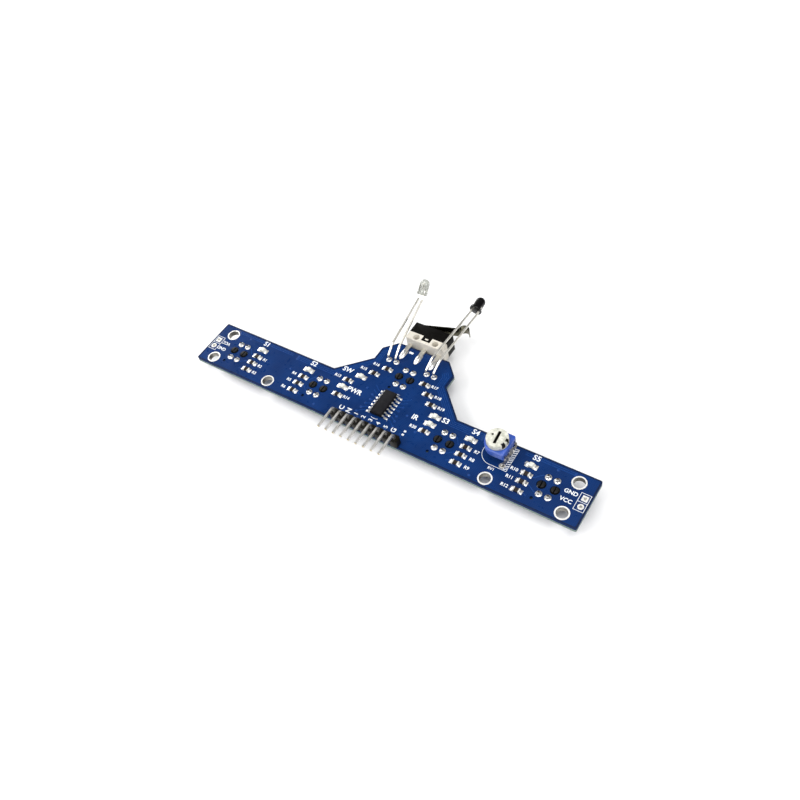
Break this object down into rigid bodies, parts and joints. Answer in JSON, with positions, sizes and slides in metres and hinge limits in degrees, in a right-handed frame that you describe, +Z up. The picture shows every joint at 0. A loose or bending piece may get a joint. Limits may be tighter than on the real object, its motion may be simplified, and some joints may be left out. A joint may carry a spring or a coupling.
{
  "type": "line sensor board",
  "caption": "Reflective line-sensing board for a small robot, with bump switch, proximity pair, trimmer and pin header.",
  "frame": {"origin": "middle of the four corner screw holes, on the underside of the board", "axes": "+X along the bar, +Y out of the nose towards the lever switch, +Z up through the board"},
  "size_m": [0.128, 0.0599, 0.0202],
  "materials": {
    "board_blue": "blue solder mask over glass epoxy, satin gloss",
    "tin": "bright tin plating",
    "solder": "soft bright solder",
    "tinned_pins": "tinned brass pins",
    "lead_wire": "tinned steel wire",
    "black_plastic": "moulded black plastic",
    "resistor_black": "black overglaze on white alumina",
    "white_substrate": "white lamp substrate",
    "lamp_lens": "pale cast epoxy",
    "trimmer_blue": "moulded blue plastic",
    "ceramic_track": "alumina with a carbon track",
    "ivory_plastic": "moulded ivory plastic",
    "spring_steel": "rolled stainless strip",
    "clear_epoxy": "water-clear cast epoxy",
    "dark_epoxy": "near-black cast epoxy",
    "emitter_epoxy": "pale blue cast epoxy"
  },
  "bodies": {
    "board": {"comparator_body": "black_plastic", "comparator_leads": "tin", "header_insulator": "black_plastic", "header_pins": "tinned_pins", "lamp_bases": "white_substrate", "lamp_power": "lamp_lens", "lamp_proximity": "lamp_lens", "lamp_sensor_1": "lamp_lens", "lamp_sensor_2": "lamp_lens", "lamp_sensor_3": "lamp_lens", "lamp_sensor_4": "lamp_lens", "lamp_sensor_5": "lamp_lens", "lamp_switch": "lamp_lens", "pcb_board": "board_blue", "proximity_emitter_leads": "lead_wire", "proximity_emitter_lens": "clear_epoxy", "proximity_receiver_body": "dark_epoxy", "proximity_receiver_leads": "lead_wire", "resistor_bodies": "resistor_black", "resistor_end_caps": "tin", "screw_hole_rings": "tin", "sensor_1_detector": "dark_epoxy", "sensor_1_emitter": "emitter_epoxy", "sensor_1_housing": "black_plastic", "sensor_1_leads": "tin", "sensor_2_detector": "dark_epoxy", "sensor_2_emitter": "emitter_epoxy", "sensor_2_housing": "black_plastic", "sensor_2_leads": "tin", "sensor_3_detector": "dark_epoxy", "sensor_3_emitter": "emitter_epoxy", "sensor_3_housing": "black_plastic", "sensor_3_leads": "tin", "sensor_4_detector": "dark_epoxy", "sensor_4_emitter": "emitter_epoxy", "sensor_4_housing": "black_plastic", "sensor_4_leads": "tin", "sensor_5_detector": "dark_epoxy", "sensor_5_emitter": "emitter_epoxy", "sensor_5_housing": "black_plastic", "sensor_5_leads": "tin", "solder_joints_top": "solder", "solder_joints_underside": "solder", "switch_base": "ivory_plastic", "switch_cover": "black_plastic", "switch_snap_blade": "spring_steel", "switch_terminals": "tin", "trimmer_base": "trimmer_blue", "trimmer_legs": "tin", "trimmer_track": "ceramic_track"},
    "rotor": {"trimmer_rotor": "ivory_plastic", "trimmer_wiper": "spring_steel"},
    "lever": {"switch_lever": "spring_steel"},
    "plunger": {"switch_plunger": "black_plastic"}
  },
  "joints": [
    {"name": "trimmer_turn", "type": "hinge", "parent": "board", "child": "rotor", "pos_m": [0.03705, 0.003, 0.0082], "axis": [0, 0, 1], "range_deg": [-105, 105]},
    {"name": "lever_swing", "type": "hinge", "parent": "board", "child": "lever", "pos_m": [-0.00575, 0.0314, 0.00183], "axis": [0, 0, -1], "range_deg": [0, 11], "stiffness_Nm_per_rad": 0.02, "springref_deg": -2.86},
    {"name": "plunger_press", "type": "slide", "parent": "board", "child": "plunger", "axis": [0, -1, 0], "range_m": [0, 0.0008]}
  ],
  "couplings": [
    {"joint": "plunger_press", "follows": "lever_swing", "m_per_rad": 0.0041}
  ]
}
